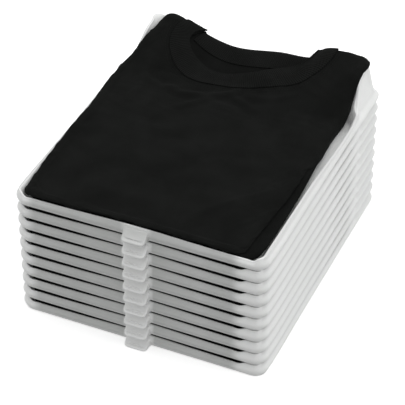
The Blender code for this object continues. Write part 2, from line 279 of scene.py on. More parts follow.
def jersey_material(name, rib=False, tone=1.0):
    """Black cotton jersey: a fine knit of wales and courses, with painted shade in the knit's grooves and painted light
    on its ridges, soft sheen, slight unevenness of dye. Ribbed for collars.
    """
    made = bpy.data.materials.new(name)
    made.use_nodes = True
    tree = made.node_tree
    link = tree.links.new
    shader = tree.nodes["Principled BSDF"]
    shader.inputs["Specular IOR Level"].default_value = 0.07
    shader.inputs["Sheen Weight"].default_value = 0.012
    shader.inputs["Sheen Roughness"].default_value = 0.5
    shader.inputs["Sheen Tint"].default_value = (0.86, 0.93, 0.88, 1)
    place = node(tree, "ShaderNodeTexCoord")
    blot = node(tree, "ShaderNodeTexNoise")
    blot.inputs["Scale"].default_value = 34.0
    blot.inputs["Detail"].default_value = 5.0
    link(place.outputs["Object"], blot.inputs["Vector"])
    dye = node(tree, "ShaderNodeValToRGB")
    dye.color_ramp.elements[0].position = 0.32
    dye.color_ramp.elements[0].color = (0.0044 * tone, 0.0047 * tone, 0.0043 * tone, 1)
    dye.color_ramp.elements[1].position = 0.70
    dye.color_ramp.elements[1].color = (0.0074 * tone, 0.0078 * tone, 0.0073 * tone, 1)
    link(blot.outputs["Fac"], dye.inputs["Fac"])
    fuzz = node(tree, "ShaderNodeTexNoise")
    fuzz.inputs["Scale"].default_value = 900.0
    fuzz.inputs["Detail"].default_value = 3.0
    link(place.outputs["Object"], fuzz.inputs["Vector"])
    if rib:
        along = node(tree, "ShaderNodeAttribute", attribute_name="along")
        turns = node(tree, "ShaderNodeMath", operation="MULTIPLY")
        turns.inputs[1].default_value = 2 * math.pi / 1.9
        link(along.outputs["Fac"], turns.inputs[0])
        ribs = node(tree, "ShaderNodeMath", operation="SINE")
        link(turns.outputs["Value"], ribs.inputs[0])
        height = node(tree, "ShaderNodeMapRange")
        height.inputs["From Min"].default_value = -1.0
        height.inputs["From Max"].default_value = 1.0
        link(ribs.outputs["Value"], height.inputs["Value"])
        knit_height, knit_depth, knit_strength = height.outputs["Result"], 0.0007, 0.85
    else:
        stretch = node(tree, "ShaderNodeMapping")
        stretch.inputs["Rotation"].default_value = (0, 0, math.radians(2.2))
        link(place.outputs["Object"], stretch.inputs["Vector"])
        wales = node(tree, "ShaderNodeTexWave", wave_type="BANDS", bands_direction="X", wave_profile="SIN")
        wales.inputs["Scale"].default_value = 315.0
        wales.inputs["Distortion"].default_value = 0.5
        wales.inputs["Detail"].default_value = 1.0
        link(stretch.outputs["Vector"], wales.inputs["Vector"])
        courses = node(tree, "ShaderNodeTexWave", wave_type="BANDS", bands_direction="Y", wave_profile="SIN")
        courses.inputs["Scale"].default_value = 420.0
        courses.inputs["Distortion"].default_value = 0.4
        link(stretch.outputs["Vector"], courses.inputs["Vector"])
        both = node(tree, "ShaderNodeMath", operation="MULTIPLY_ADD")
        both.inputs[1].default_value = 0.45
        link(courses.outputs["Fac"], both.inputs[0])
        link(wales.outputs["Fac"], both.inputs[2])
        knit_height, knit_depth, knit_strength = both.outputs["Value"], 0.0003, 0.6
    # painted shade in the knit's grooves and painted light on its ridges: the colour follows the knit's height
    lit = node(tree, "ShaderNodeMix", data_type="RGBA", blend_type="MULTIPLY")
    lit.inputs["Factor"].default_value = 1.0
    knit_painted_light_and_shade = node(tree, "ShaderNodeMapRange")
    knit_painted_light_and_shade.inputs["To Min"].default_value = 0.82
    knit_painted_light_and_shade.inputs["To Max"].default_value = 1.18
    link(knit_height, knit_painted_light_and_shade.inputs["Value"])
    link(dye.outputs["Color"], lit.inputs["A"])
    link(knit_painted_light_and_shade.outputs["Result"], lit.inputs["B"])
    link(lit.outputs["Result"], shader.inputs["Base Color"])
    rough = node(tree, "ShaderNodeMapRange")
    rough.inputs["To Min"].default_value = 0.82
    rough.inputs["To Max"].default_value = 0.98
    link(fuzz.outputs["Fac"], rough.inputs["Value"])
    link(rough.outputs["Result"], shader.inputs["Roughness"])
    knit = node(tree, "ShaderNodeBump")
    knit.inputs["Strength"].default_value = knit_strength
    knit.inputs["Distance"].default_value = knit_depth
    link(knit_height, knit.inputs["Height"])
    nap = node(tree, "ShaderNodeBump")
    nap.inputs["Strength"].default_value = 0.35
    nap.inputs["Distance"].default_value = 0.0002
    link(fuzz.outputs["Fac"], nap.inputs["Height"])
    link(knit.outputs["Normal"], nap.inputs["Normal"])
    link(nap.outputs["Normal"], shader.inputs["Normal"])
    return made


# ---------------------------------------------------------------- the boards


def stations():
    line = []
    arc = [math.radians(90 * i / ARC_STEPS) for i in range(ARC_STEPS + 1)]
    for x in (0.0, 16 * MM, 50 * MM, 90 * MM, 100 * MM, 106 * MM):
        line.append((Vector((x, 0)), Vector((0, -1))))
    for a in arc:
        n = Vector((math.sin(a), -math.cos(a)))
        line.append((Vector((HALF - CORNER, CORNER)) + CORNER * n, n))
    for y in (110 * MM, DEPTH - EAR_SIDE, DEPTH - EAR_SIDE + 9 * MM, DEPTH - EAR_SIDE + 20 * MM, DEPTH - EAR_SIDE + 32 * MM):
        line.append((Vector((HALF, y)), Vector((1, 0))))
    for a in arc:
        n = Vector((math.cos(a), math.sin(a)))
        line.append((Vector((HALF - CORNER, DEPTH - CORNER)) + CORNER * n, n))
    for x in (HALF - 28 * MM, HALF - 40 * MM, HALF - EAR_REAR + 8 * MM, HALF - EAR_REAR - 4 * MM, 0.0):
        line.append((Vector((x, DEPTH)), Vector((0, 1))))
    right = list(line)
    for p, n in reversed(right[1:-1]):
        line.append((Vector((-p.x, p.y)), Vector((-n.x, n.y))))
    found = []
    for p, n in line:
        side = 1 if p.x > 0 else -1
        middle = Vector((side * (HALF - EAR_REAR), DEPTH - EAR_SIDE))
        if abs(p.x) > HALF - EAR_REAR and p.y > DEPTH - EAR_SIDE:
            inward = (middle - p).normalized()
        else:
            inward = -n
        found.append((p, n, inward))
    return found


def ear_share(p):
    along_side = (p.y - (DEPTH - EAR_SIDE)) / (EAR_SIDE - EAR_FULL)
    along_rear = (abs(p.x) - (HALF - EAR_REAR)) / (EAR_REAR - EAR_FULL)
    if p.y < DEPTH - EAR_SIDE:
        return 0.0
    return smooth(along_side) * smooth(along_rear)


def rim_height(p, slit_end):
    rear = p.y > DEPTH - CORNER * 0.5 and abs(p.x) < HALF - CORNER * 0.3
    top = RIM_TOP + EAR_RISE * ear_share(p)
    if rear:
        top = max(top, RIM_TOP + RIDGE_RISE)
    if p.y < 1.5 * MM:
        part = (abs(p.x) - 0.5 * TAB_WIDTH) / (HALF - CORNER - 0.5 * TAB_WIDTH)
        slit = mix(SLIT_NARROW, SLIT_WIDE, smooth(part * 1.4))
        top = PITCH - slit if CORNER * 0.9 - HALF < p.x < slit_end else RIM_TOP - 0.9 * MM
    return top


def section(p, slit_end):
    top = rim_height(p, slit_end)
    raised = max(top - RIM_TOP, 0.0)
    nested = 0.0 if p.y < DEPTH - EAR_SIDE else smooth((p.y - (DEPTH - EAR_SIDE)) / (8 * MM))
    front = smooth(1 - p.y / CORNER)
    shoulder = mix(mix(2.2, 1.6, front), 4.8, nested) * MM
    crest = mix(mix(3.4, 2.3, front), 5.9, nested) * MM + raised * math.tan(EAR_DRAFT)
    width = mix(mix(1.8, 1.0, front), 2.4, nested) * MM
    steep = mix(4.6, 2.6, front) * MM
    run = steep + raised / math.tan(EAR_RAMP) + (RIM_TOP / math.tan(EAR_RAMP) - steep) * smooth(raised / (6 * MM))
    foot = crest + width + 0.9 * MM + run
    low = WALL
    inner = top - 1.1 * MM
    lip = crest + width + 0.9 * MM
    return [
        (foot + 1.2 * MM, low),
        (foot - 0.10 * run, mix(low, inner, 0.13)),
        (lip, inner),
        (crest + width, top),
        (crest, top),
        (shoulder, SHOULDER_Z if top > SHOULDER_Z + 1.2 * MM else top - 1.2 * MM),
        (0.0, BULGE_Z),
        (BULGE, 0.0),
    ]


def place_at(station, inset, height):
    p, n, inward = station
    at = p + inward * (inset / max(-inward.dot(n), 0.5))
    return Vector((at.x, at.y, height))


def board_surface(slit_end):
    """The board's upper surface as a fine grid: (stations, levels, 3)."""
    line = stations()
    count = len(line)
    places = [[place_at(station, inset, height) for inset, height in section(station[0], slit_end)] for station in line]
    eared = [i for i in range(count) if ear_share(line[i][0]) > 0.02]
    for level, times in ((0, 5), (1, 4), (2, 1)):
        for _ in range(times):
            old = [row[level].copy() for row in places]
            for i in eared:
                places[i][level] = 0.5 * old[i] + 0.25 * (old[i - 1] + old[(i + 1) % count])
    grid = np.array([[list(at) for at in row] for row in places])
    rings = np.stack([spline(grid[:, j], 5, closed=True) for j in range(grid.shape[1])], axis=1)
    fine = []
    for ring in rings:
        # a flat start on the floor, so that the wall rises out of it in a fillet
        inner = ring[0] + (ring[0] - ring[1]) * np.array([1, 1, 0])
        row = spline(np.concatenate([[inner], ring]), 4)[4:]
        fine.append(row)
    fine = np.array(fine)
    fine[:, :, 2] = np.maximum(fine[:, :, 2], 0.0)
    return fine


def tab_form():
    """The pull tab as a thick rounded tongue that rises to the front wall, with a raised lip round its free edge."""
    half = TAB_WIDTH / 2
    outline = [(half + 1.2 * MM, 1.95 * MM), (half + 0.4 * MM, 0.2 * MM), (half, -2.0 * MM), (half, -TAB_REACH + TAB_CORNER)]
    for i in range(1, 9):
        a = math.radians(90 * i / 8)
        outline.append((half - TAB_CORNER + TAB_CORNER * math.cos(a), -TAB_REACH + TAB_CORNER - TAB_CORNER * math.sin(a)))
    outline += [(0.0, -TAB_REACH)] + [(-x, y) for x, y in reversed(outline)]
    outline = resampled(outline, 97)
    centre = np.array([0.0, 0.0])
    rings = []

    def height(x, y):
        back = np.clip((y + TAB_REACH) / TAB_REACH, 0, 1)
        return TAB_THICK + 7.4 * MM * back ** 2.0

    inset_levels = [
        (1.1, None, 0.02), (0.35, None, 0.05), (0.0, None, 0.75), (0.05, 1.0, -1.0), (0.5, 1.0, -0.35), (1.3, 1.0, -0.02), (2.2, 1.0, 0.03), (3.1, 1.0, -0.06), (4.0, 1.0, -0.14),
    ]
    start = np.array([0.0, 1.95 * MM])
    normals = np.gradient(outline, axis=0)
    normals = np.stack([normals[:, 1], -normals[:, 0]], axis=1)
    normals /= np.maximum(np.linalg.norm(normals, axis=1, keepdims=True), 1e-9)
    if (normals[:, 1] * (outline[:, 1] - outline[:, 1].mean())).sum() < 0:
        normals = -normals
    for inset, upper, dz in inset_levels:
        ring = outline - normals * inset * MM
        ring[:, 1] = np.minimum(ring[:, 1], 1.95 * MM)
        ring[0, 1] = ring[-1, 1] = 1.95 * MM
        z = np.full(len(ring), dz * MM) if upper is None else height(ring[:, 0], outline[:, 1]) + dz * MM
        rings.append(np.column_stack([ring, z]))
    # the flat middle, as rows running from the lip to the axis
    for share in (0.3, 0.6, 0.86):
        ring = outline - normals * 4.0 * MM
        ring[:, 1] = np.minimum(ring[:, 1], 1.95 * MM)
        ring = ring * np.array([1 - share, 1.0])
        z = height(ring[:, 0], ring[:, 1]) - 0.14 * MM
        rings.append(np.column_stack([ring, z]))
    rings = np.array(rings)
    made = bmesh.new()
    verts = [[made.verts.new(p) for p in ring] for ring in rings]
    count = len(rings[0])
    for a, b in zip(verts, verts[1:]):
        for i in range(count - 1):
            made.faces.new((a[i], a[i + 1], b[i + 1], b[i]))
    bottom = verts[0]
    made.faces.new(list(reversed(bottom)))
    top = verts[-1]
    made.faces.new(top)
    # the root, buried in the front wall
    left = [ring[0] for ring in verts]
    right = [ring[-1] for ring in verts]
    made.faces.new(left + list(reversed(right)))
    bmesh.ops.remove_doubles(made, verts=made.verts, dist=1e-6)
    bmesh.ops.triangulate(made, faces=[f for f in made.faces if len(f.verts) > 4])
    bmesh.ops.recalc_face_normals(made, faces=made.faces)
    mesh = bpy.data.meshes.new("tab_form")
    made.to_mesh(mesh)
    made.free()
    return mesh


def board_mesh(slit_end, ease):
    surface = board_surface(slit_end)
    m, n = surface.shape[:2]
    made = bmesh.new()
    verts = [[made.verts.new(p) for p in row] for row in surface]
    for i in range(m):
        a, b = verts[i], verts[(i + 1) % m]
        for j in range(n - 1):
            made.faces.new((a[j], a[j + 1], b[j + 1], b[j]))
    made.faces.new([row[0] for row in verts])
    bmesh.ops.recalc_face_normals(made, faces=made.faces)
    floor = max(made.faces, key=lambda f: f.calc_area())
    if floor.normal.z < 0:
        bmesh.ops.reverse_faces(made, faces=made.faces)
    skin = bpy.data.meshes.new("board_skin")
    made.to_mesh(skin)
    made.free()
    holder = new_object("board_shell", skin)
    shell = holder.modifiers.new("wall", "SOLIDIFY")
    shell.thickness = WALL
    shell.offset = -1
    shell.use_even_offset = True
    shell.thickness_clamp = 0
    shell_mesh = baked(holder, "board_shell")
    tab = new_object("tab_form", tab_form())
    holder = new_object("board_join", shell_mesh)
    join = holder.modifiers.new("tab", "BOOLEAN")
    join.operation = "UNION"
    join.solver = "EXACT"
    join.object = tab
    mesh = baked(holder, "folding_board")
    bpy.data.objects.remove(tab)
    co = np.zeros(len(mesh.vertices) * 3)
    mesh.vertices.foreach_get("co", co)
    co = co.reshape(-1, 3)
    # ease the inner corner of each ear, which passes closest to the board above as that one tips back, or to the shirt that lies over it
    facing = np.array([v.normal.z for v in mesh.vertices])
    apart = np.hypot(np.abs(co[:, 0]) - 98 * MM, co[:, 1] - 283.3 * MM)
    co[:, 2] -= ease * smooth_array((6 * MM - apart) / (3 * MM)) * (co[:, 2] > 37 * MM) * (facing > 0.05)
    mesh.vertices.foreach_set("co", co.astype(np.float32).ravel())
    x, y, z = np.abs(co[:, 0]), co[:, 1], co[:, 2]
    # painted shade: how closely the black shirt lies behind the wall, greying the translucent wall there
    share = smooth_array((8.0 * MM - y) / (3.0 * MM)) * smooth_array((y + 0.4 * MM) / (0.4 * MM))
    share *= smooth_array((HALF - 11 * MM + np.minimum(co[:, 0], 0) - np.maximum(co[:, 0], 0) - 11 * MM * (co[:, 0] > 0)) / (13 * MM)) * smooth_array((x - 11.6 * MM) / (1.6 * MM))
    share *= 0.35 + 0.65 * smooth_array((z - 1.2 * MM) / (2.6 * MM))
    attribute = mesh.attributes.new("painted_shade", "FLOAT", "POINT")
    attribute.data.foreach_set("value", share.astype(np.float32))
    # painted light on the tabs: solid plastic kept whiter than the thin walls, to lift the shade the tabs above cast on
    # them
    solid = smooth_array((13.6 * MM - x) / (1.4 * MM)) * smooth_array((2.6 * MM - y) / (1.5 * MM))
    attribute = mesh.attributes.new("solid", "FLOAT", "POINT")
    attribute.data.foreach_set("value", solid.astype(np.float32))
    # painted shade in the joints between stacked boards, on the outer walls, where the boards above and below shade
    # them
    outside = np.maximum(smooth_array((x - HALF + 5.5 * MM) / (1.5 * MM)), smooth_array((y - DEPTH + 5.5 * MM) / (1.5 * MM)))
    outside = np.maximum(outside, smooth_array((3.5 * MM - y) / (1.5 * MM)) * 0.6) * (z < 14.2 * MM)
    joint_painted_shade = np.maximum(smooth_array((4.2 * MM - z) / (4.2 * MM)), 0.8 * smooth_array((z - 9.6 * MM) / (3.4 * MM)))
    attribute = mesh.attributes.new("joint_painted_shade", "FLOAT", "POINT")
    attribute.data.foreach_set("value", (outside * joint_painted_shade * (1 - solid)).astype(np.float32))
    mesh.shade_smooth()
    mesh.set_sharp_from_angle(angle=math.radians(38))
    return mesh, skin


def heights_of(mesh):
    return BVHTree.FromPolygons([v.co for v in mesh.vertices], [tuple(p.vertices) for p in mesh.polygons])


print("boards")
# each slit ends further from the right corner than from the left one, but the open rim of the top board runs on into its corner
board, board_skin = board_mesh(HALF - 22 * MM, EASE)
top_board, board_skin = board_mesh(HALF - CORNER * 0.9, EASE_TOP)
plastic = board_material()
for made in (board, top_board):
    made.materials.clear()
    made.materials.append(plastic)
# the tab of the top board has no other above it to shade it, so it takes painted shade instead of the painted light of
# the lower tabs: a little greyer
painted_shade = top_board.attributes["painted_shade"].data
solid = top_board.attributes["solid"].data
for i in range(len(painted_shade)):
    painted_shade[i].value = max(painted_shade[i].value, 0.75 * solid[i].value)
    solid[i].value = 0.0
for k in range(COUNT):
    tray = new_object(f"moulded_board_{k + 1:02d}", top_board if k == COUNT - 1 else board)
    tray.location = (0, 0, k * PITCH)
    body = f"board_{k + 1:02d}"
    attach(tray, body)
    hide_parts(f"folding_board_{k + 1:02d}")


# ---------------------------------------------------------------- the shirts


def edge_rows(row, outward, top, low, profile):
    """Rings round the edge of a folded shirt: row (n, 2) is its outline, profile a list of (share of the drop, outward mm)."""
    return [np.column_stack([row + outward * off * MM, top + (low - top) * s]) for s, off in profile]


def outline_of(grid):
    """The border of a (m, n) grid as index pairs, anticlockwise from its first corner."""
    m, n = grid.shape[:2]
    ring = [(0, i) for i in range(n - 1)] + [(j, n - 1) for j in range(m - 1)]
    ring += [(m - 1, n - 1 - i) for i in range(n - 1)] + [(m - 1 - j, 0) for j in range(m - 1)]
    return ring


def outward_of(line):
    """Unit normals pointing out of a closed anticlockwise line (n, 2)."""
    ahead = np.roll(line, -1, axis=0) - np.roll(line, 1, axis=0)
    for _ in range(2):
        ahead = 0.5 * ahead + 0.25 * (np.roll(ahead, 1, axis=0) + np.roll(ahead, -1, axis=0))
    normal = np.stack([ahead[:, 1], -ahead[:, 0]], axis=1)
    return normal / np.maximum(np.linalg.norm(normal, axis=1, keepdims=True), 1e-9)


def blurred(z, times):
    for _ in range(times):
        p = np.pad(z, 1, mode="edge")
        z = (p[1:-1, 1:-1] * 4 + 2 * (p[:-2, 1:-1] + p[2:, 1:-1] + p[1:-1, :-2] + p[1:-1, 2:]) + p[:-2, :-2] + p[:-2, 2:] + p[2:, :-2] + p[2:, 2:]) / 16
    return z


def spaced(count, crowd):
    """0 to 1 in count + 1 steps, closer together at both ends."""
    t = np.linspace(-1, 1, count + 1)
    t = np.sign(t) * (1 - (1 - np.abs(t)) ** crowd)
    return (t + 1) / 2


def shirt_grid(front, rear, left, right, corners, across, along):
    """xy of a shirt's top, (along + 1, across + 1, 2), inside left(y) and right(y), with rounded corners (front left, front right, rear left, rear right)."""
    rows = []
    for y in front + (rear - front) * spaced(along, 1.22):
        cut = []
        for f, r in ((corners[0], corners[2]), (corners[1], corners[3])):
            inset = 0.0
            if y - front < f:
                d = 1 - (y - front) / f
                inset += f * (1 - math.sqrt(max(1 - d * d, 0.0)))
            if rear - y < r:
                d = 1 - (rear - y) / r
                inset += r * (1 - math.sqrt(max(1 - d * d, 0.0)))
            cut.append(inset)
        lo, hi = left(y) + cut[0], right(y) - cut[1]
        rows.append(np.column_stack([lo + (hi - lo) * spaced(across, 1.18), np.full(across + 1, y)]))
    return np.array(rows)


def closed_shell(name, grid, low, top, profile):
    """A closed folded form: top and bottom over the same grid, joined by the edge profile."""
    m, n = grid.shape[:2]
    ring = outline_of(grid)
    line = np.array([grid[a] for a in ring])
    outward = outward_of(line)
    tops = np.array([top[a] for a in ring])
    lows = np.array([low[a] for a in ring])
    made = bmesh.new()
    up = [[made.verts.new((*grid[j, i], top[j, i])) for i in range(n)] for j in range(m)]
    down = [[made.verts.new((*grid[j, i], low[j, i])) for i in range(n)] for j in range(m)]
    for j in range(m - 1):
        for i in range(n - 1):
            made.faces.new((up[j][i], up[j][i + 1], up[j + 1][i + 1], up[j + 1][i]))
            made.faces.new((down[j][i], down[j + 1][i], down[j + 1][i + 1], down[j][i + 1]))
    rows = [[up[a][b] for a, b in ring]]
    for level in edge_rows(line, outward, tops, lows, profile):
        rows.append([made.verts.new(p) for p in level])
    rows.append([down[a][b] for a, b in ring])
    count = len(ring)
    for a, b in zip(rows, rows[1:]):
        for i in range(count):
            k = (i + 1) % count
            made.faces.new((a[i], b[i], b[k], a[k]))
    bmesh.ops.recalc_face_normals(made, faces=made.faces)
    mesh = bpy.data.meshes.new(name)
    made.to_mesh(mesh)
    made.free()
    return mesh


def layered(layers, bulge, dent):
    """Edge profile of a pile of folded layers."""
    found = []
    for s in np.linspace(0, 1, 6 * layers + 1)[1:-1]:
        off = bulge * math.sin(math.pi * s) ** 0.5 + dent * (abs(math.sin(math.pi * layers * s)) ** 0.6 - 1)
        found.append((float(s), off))
    return found


def curve_xy(points, count):
    return resampled(spline([(x * MM, y * MM, 0) for x, y in points], 8)[:, :2], count)


NECK_IN = [(-59, 290.5), (-66, 281), (-69, 270.5), (-63, 260), (-52, 252), (-39, 245.5), (-26, 242.5), (-11, 245), (8, 252), (30, 262), (45, 271), (54, 281), (59, 290.5)]
NECK_OUT = [(-80, 290.5), (-86, 275), (-86, 260), (-77, 244), (-62, 230.5), (-44, 223), (-23, 223), (4, 228), (33, 238.5), (58, 250), (73, 263), (79, 277), (80, 290.5)]


def inside(points, polygon):
    """Whether each of points (n, 2) is inside the polygon."""
    x, y = points[:, 0], points[:, 1]
    found = np.zeros(len(points), bool)
    a, b = polygon, np.roll(polygon, -1, axis=0)
    for (x0, y0), (x1, y1) in zip(a, b):
        crosses = (y0 > y) != (y1 > y)
        with np.errstate(divide="ignore", invalid="ignore"):
            at = (x1 - x0) * (y - y0) / (y1 - y0) + x0
        found ^= crosses & (x < at)
    return found


jersey = jersey_material("black_jersey")
jersey_inside = jersey_material("black_jersey_inside", tone=0.85)
rib_knit = jersey_material("black_rib_knit", rib=True, tone=1.15)
thread = jersey_material("black_thread", tone=1.9)

board_tree = heights_of(board_skin)


def dilated(z, cells):
    for _ in range(cells):
        p = np.pad(z, 1, mode="edge")
        z = np.max([p[1:-1, 1:-1], p[:-2, 1:-1], p[2:, 1:-1], p[1:-1, :-2], p[1:-1, 2:], p[:-2, :-2], p[2:, 2:], p[:-2, 2:], p[2:, :-2]], axis=0)
    return z


CELL = 1.5 * MM
field_x = np.arange(-0.135, 0.1351, CELL)
field_y = np.arange(-0.009, 0.3061, CELL)
FX, FY = np.meshgrid(field_x, field_y)


def board_field():
    """Heights of the board's upper surface over the raster."""
    found = np.zeros(FX.shape)
    for j, y in enumerate(field_y):
        for i, x in enumerate(field_x):
            hit = board_tree.ray_cast(Vector((x, y, 1.0)), Vector((0, 0, -1)))[0]
            found[j, i] = 0.0 if hit is None else hit.z
    return found


def sample(field, x, y):
    """Bilinear reading of a raster."""
    u = np.clip((np.asarray(x, float) - field_x[0]) / CELL, 0, len(field_x) - 1.001)
    v = np.clip((np.asarray(y, float) - field_y[0]) / CELL, 0, len(field_y) - 1.001)
    i, j = u.astype(int), v.astype(int)
    a, b = u - i, v - j
    return (field[j, i] * (1 - a) + field[j, i + 1] * a) * (1 - b) + (field[j + 1, i] * (1 - a) + field[j + 1, i + 1] * a) * b


def eased(points, per=12):
    """A smooth line through a few (place, value) points, as two arrays for interpolation."""
    line = spline([(a, b, 0) for a, b in points], per)
    return line[:, 0], line[:, 1]


LEFT = eased([(0.0, -0.1125), (0.03, -0.1145), (0.07, -0.1156), (0.11, -0.1165), (0.14, -0.1164), (0.17, -0.1178), (0.205, -0.1195), (0.228, -0.1188), (0.239, -0.1153), (0.248, -0.1105), (0.258, -0.1062), (0.268, -0.1032), (0.278, -0.1006), (0.288, -0.0980), (0.296, -0.0955)])
RIGHT_OUT = eased([(0.0, 0.1125), (0.05, 0.1140), (0.10, 0.1124), (0.14, 0.1098), (0.17, 0.1076), (0.20, 0.1052), (0.225, 0.1065), (0.245, 0.1092), (0.260, 0.1110), (0.275, 0.1128), (0.295, 0.1142)])
CREASE = eased([(0.0, 0.0985), (0.03, 0.1005), (0.06, 0.1025), (0.10, 0.1055), (0.14, 0.1064), (0.17, 0.1060), (0.20, 0.1052), (0.225, 0.1065), (0.245, 0.1092), (0.260, 0.1110), (0.275, 0.1128), (0.295, 0.1142)])
# height of the shirt's rear edge over the board's foot, across the shoulders and the neck
REAR = eased([(-0.130, 34), (-0.112, 38), (-0.104, 41.0), (-0.096, 40.0), (-0.086, 36.5), (-0.074, 34.0), (-0.064, 30.5), (-0.055, 27.0), (-0.041, 24.0), (-0.028, 23.0), (-0.011, 24.5), (0.008, 28.0), (0.026, 30.5), (0.043, 29.5), (0.054, 30.5), (0.062, 35.5), (0.069, 42.5), (0.078, 43.0), (0.088, 45.0), (0.100, 45.0), (0.108, 43.0), (0.118, 38), (0.130, 35)])
# soft creases in the front of the shirt: points, height, width
CREASES = [
    ([(-64, 207), (-50, 200.5), (-37, 202), (-18, 209), (-3, 217), (3, 226)], 1.6, 3.8),
    ([(-40, 180), (-31, 189), (-23, 199), (-14, 207)], 1.2, 3.6),
    ([(-3, 215), (9, 210), (22, 204), (38, 200)], 1.15, 4.0),
    ([(-92, 213), (-78, 206), (-66, 203), (-52, 209)], 1.0, 3.6),
    ([(14, 219), (30, 221), (46, 228), (60, 237)], 0.8, 3.8),
    ([(-96, 246), (-92, 222), (-88, 200), (-90, 176)], 0.9, 5.0),
    ([(88, 250), (83, 226), (82, 200), (88, 172)], 0.9, 5.0),
    ([(62, 236), (66, 214), (64, 190), (70, 168)], 0.6, 4.5),
    ([(-74, 226), (-76, 206), (-70, 184), (-72, 160)], 0.55, 4.5),
    ([(-108, 150), (-84, 141), (-58, 138), (-30, 141)], 0.55, 7.0),
    ([(-20, 120), (10, 112), (44, 114), (72, 122)], 0.45, 8.0),
    ([(-104, 96), (-80, 84), (-52, 78)], 0.45, 7.0),
    ([(20, 60), (50, 66), (84, 60)], 0.4, 8.0),
    ([(-66, 40), (-30, 34), (8, 38)], 0.4, 8.0),
]


def crease_heights(x, y):
    total = np.zeros(np.shape(x))
    for points, tall, wide in CREASES:
        line = resampled(spline([(a * MM, b * MM, 0) for a, b in points], 6)[:, :2], 30)
        gap = np.min(np.hypot(np.asarray(x)[..., None] - line[:, 0], np.asarray(y)[..., None] - line[:, 1]), axis=-1)
        ends = np.minimum(np.hypot(x - line[0, 0], y - line[0, 1]), np.hypot(x - line[-1, 0], y - line[-1, 1]))
        fade = smooth_array(ends / (12 * MM)) * 0.8 + 0.2
        tall, wide = tall * 1.55, wide * 0.82
        total += fade * tall * MM * (np.exp(-((gap / (wide * MM)) ** 2)) - 0.35 * np.exp(-(((gap - 2.1 * wide * MM) / (wide * MM)) ** 2)))
    return total


print("top shirt")
base_field = np.maximum(dilated(board_field(), 2) + 0.5 * MM, WALL + CLEAR)
base_field = np.maximum(blurred(base_field, 3), base_field)
level = 12.2 * MM + 1.5 * MM * smooth_array((FY - 0.006) / 0.06) * smooth_array((0.116 - np.abs(FX)) / 0.05)
# the rounded front fold, deepest to the right of the middle
roll = 3.2 * MM * (0.55 + 0.45 * smooth_array((FX + 0.09) / 0.12))
level -= roll * np.clip(1 - (FY - 0.004) / 0.030, 0, 1) ** 1.8
level += wave(FX, FY, 4, 0.11) * 0.5 * MM
rear_part = smooth_array((FY - 0.212) / 0.078)
rear_line = np.interp(field_x, *REAR)[None, :] * MM
level = level * (1 - rear_part) + rear_line * rear_part
thin = 3.6 * MM + 0.6 * MM * smooth_array((base_field - WALL) / (16 * MM))
top_field = np.maximum(level, base_field + thin)
top_field = np.maximum(blurred(top_field, 9), np.minimum(base_field + 3.0 * MM, top_field))
top_field = blurred(top_field, 2)

inner_neck = curve_xy(NECK_IN, 110)
neck_polygon = np.concatenate([inner_neck, [[0.059, 0.32], [-0.059, 0.32]]])
neck_field = inside(np.column_stack([FX.ravel(), FY.ravel()]), neck_polygon).reshape(FX.shape).astype(float)
hollow = blurred(neck_field, 3) * smooth_array((0.288 - FY) / 0.03)


def scooped(points):
    """The rear edge comes forward a little across the neck."""
    across_neck = smooth_array((0.060 - np.abs(points[..., 0])) / 0.045)
    points[..., 1] -= 3.0 * MM * across_neck * smooth_array((points[..., 1] - 0.225) / 0.06)
    return points


# the folded-under sleeves, sides, lower part and back of the shirt
bulk_grid = scooped(shirt_grid(5.8 * MM, 289 * MM, lambda y: float(np.interp(y, *LEFT)), lambda y: float(np.interp(y, *RIGHT_OUT)), (7 * MM, 20 * MM, 12 * MM, 12 * MM), 74, 92))
gx, gy = bulk_grid[..., 0], bulk_grid[..., 1]
bulk_low = sample(base_field, gx, gy)
bulk_top = sample(top_field, gx, gy) - 2.8 * MM * sample(hollow, gx, gy)
beyond = smooth_array((gx - np.interp(gy, *CREASE) + 3.5 * MM) / (5 * MM)) * smooth_array((0.150 - gy) / 0.05)
bulk_top -= 3.4 * MM * beyond
bulk_top = np.maximum(bulk_top, bulk_low + 1.6 * MM)
border = np.ones_like(gx)
border[0, :] = border[-1, :] = border[:, 0] = border[:, -1] = 0
bulk_top = np.where(border > 0, bulk_top, np.maximum(bulk_low + (bulk_top - bulk_low) * 0.82, bulk_top - 1.1 * MM))
bulk_low = np.where(border > 0, bulk_low, bulk_low + 0.12 * (bulk_top - bulk_low))
bulk_mesh = closed_shell("top_shirt_folds", bulk_grid, bulk_low + TOP_Z, bulk_top + TOP_Z, layered(3, 2.2, 0.7))
bulk = new_object("top_shirt_folds", bulk_mesh)
bulk.data.materials.append(jersey_inside)
bulk_tree = heights_of(bulk_mesh)


